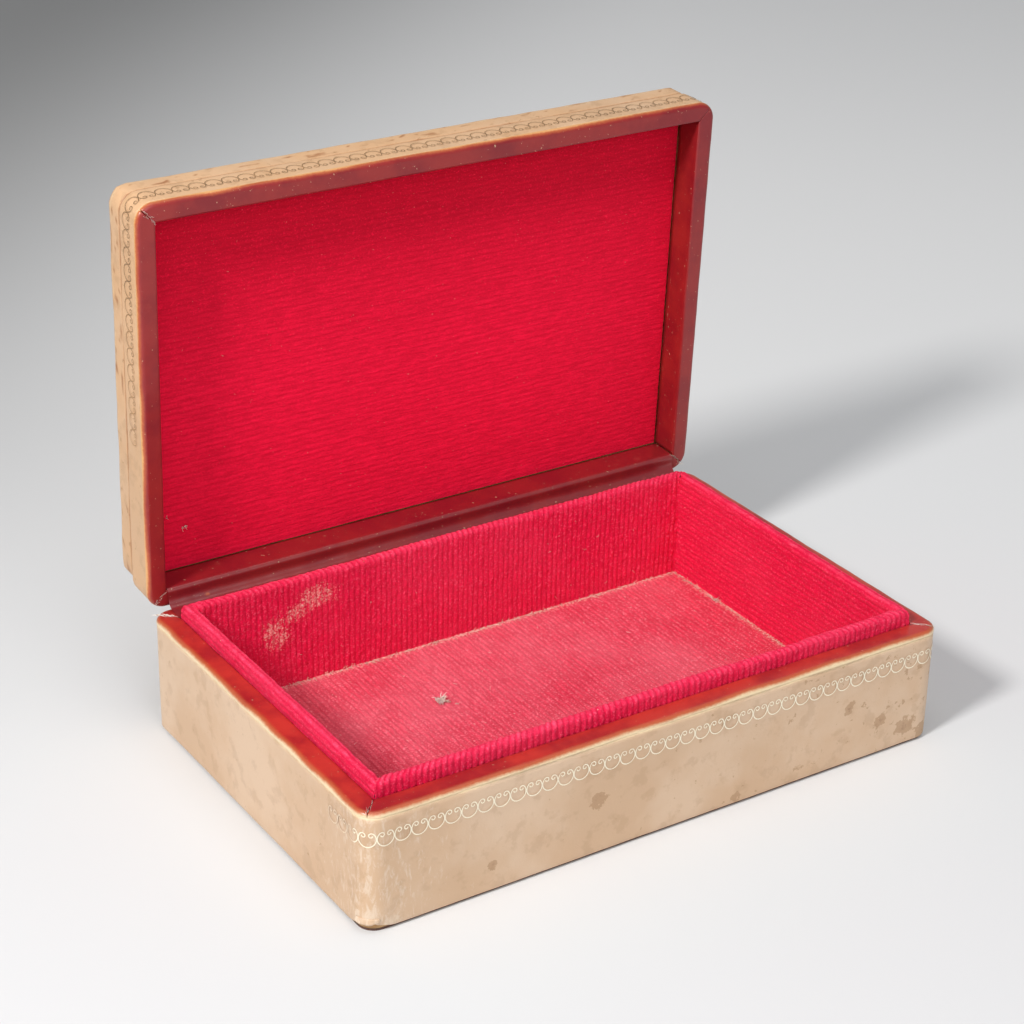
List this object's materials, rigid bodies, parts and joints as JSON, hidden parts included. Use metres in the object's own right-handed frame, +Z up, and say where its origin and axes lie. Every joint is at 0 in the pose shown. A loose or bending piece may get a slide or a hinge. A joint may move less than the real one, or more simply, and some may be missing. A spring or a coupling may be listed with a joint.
{
  "type": "jewellery case",
  "caption": "Small leather-covered jewellery case with a padded hinged lid, a corduroy-lined tray and a raised lip that fits inside the closed lid.",
  "frame": {"origin": "centre of the base's underside, on the table", "axes": "+X along the case to the right, +Y to the back where the lid is hinged, +Z up; the lid is open at rest"},
  "size_m": [0.2, 0.1506, 0.1686],
  "materials": {
    "tan_leather": "aged tan, satin",
    "rim_leather": "red-brown, satin",
    "liner_corduroy": "fine crimson corduroy",
    "lid_corduroy": "fine crimson corduroy",
    "floor_corduroy": "faded crimson corduroy",
    "card": "stiff card",
    "base_paper": "dark leather paper",
    "wadding": "cotton wadding",
    "carcass_wood": "bare softwood"
  },
  "bodies": {
    "base": {"base_sheet": "base_paper", "bottom_board": "carcass_wood", "base_front_wall": "carcass_wood", "base_back_wall": "carcass_wood", "base_left_wall": "carcass_wood", "base_right_wall": "carcass_wood", "base_leather_wrap": "tan_leather", "base_rim_front": "rim_leather", "base_rim_back": "rim_leather", "base_rim_left": "rim_leather", "base_rim_right": "rim_leather", "liner_card_front": "card", "liner_card_back": "card", "liner_card_left": "card", "liner_card_right": "card", "liner_cloth_front": "liner_corduroy", "liner_cloth_back": "liner_corduroy", "liner_cloth_left": "liner_corduroy", "liner_cloth_right": "liner_corduroy", "floor_card": "card", "floor_cloth": "floor_corduroy", "hinge_strip_base": "rim_leather"},
    "lid": {"lid_front_wall": "carcass_wood", "lid_back_wall": "carcass_wood", "lid_left_wall": "carcass_wood", "lid_right_wall": "carcass_wood", "lid_leather_band": "tan_leather", "lid_rim_front": "rim_leather", "lid_rim_back": "rim_leather", "lid_rim_left": "rim_leather", "lid_rim_right": "rim_leather", "lid_top_board": "carcass_wood", "lid_top_pad": "wadding", "lid_top_leather": "tan_leather", "lid_lining_card": "card", "lid_lining_cloth": "lid_corduroy", "hinge_strip_lid": "rim_leather"}
  },
  "joints": [
    {"name": "lid_hinge", "type": "hinge", "parent": "base", "child": "lid", "pos_m": [0, 0.065, 0.0382], "axis": [-1, 0, 0], "range_deg": [-87.5, 0]}
  ]
}
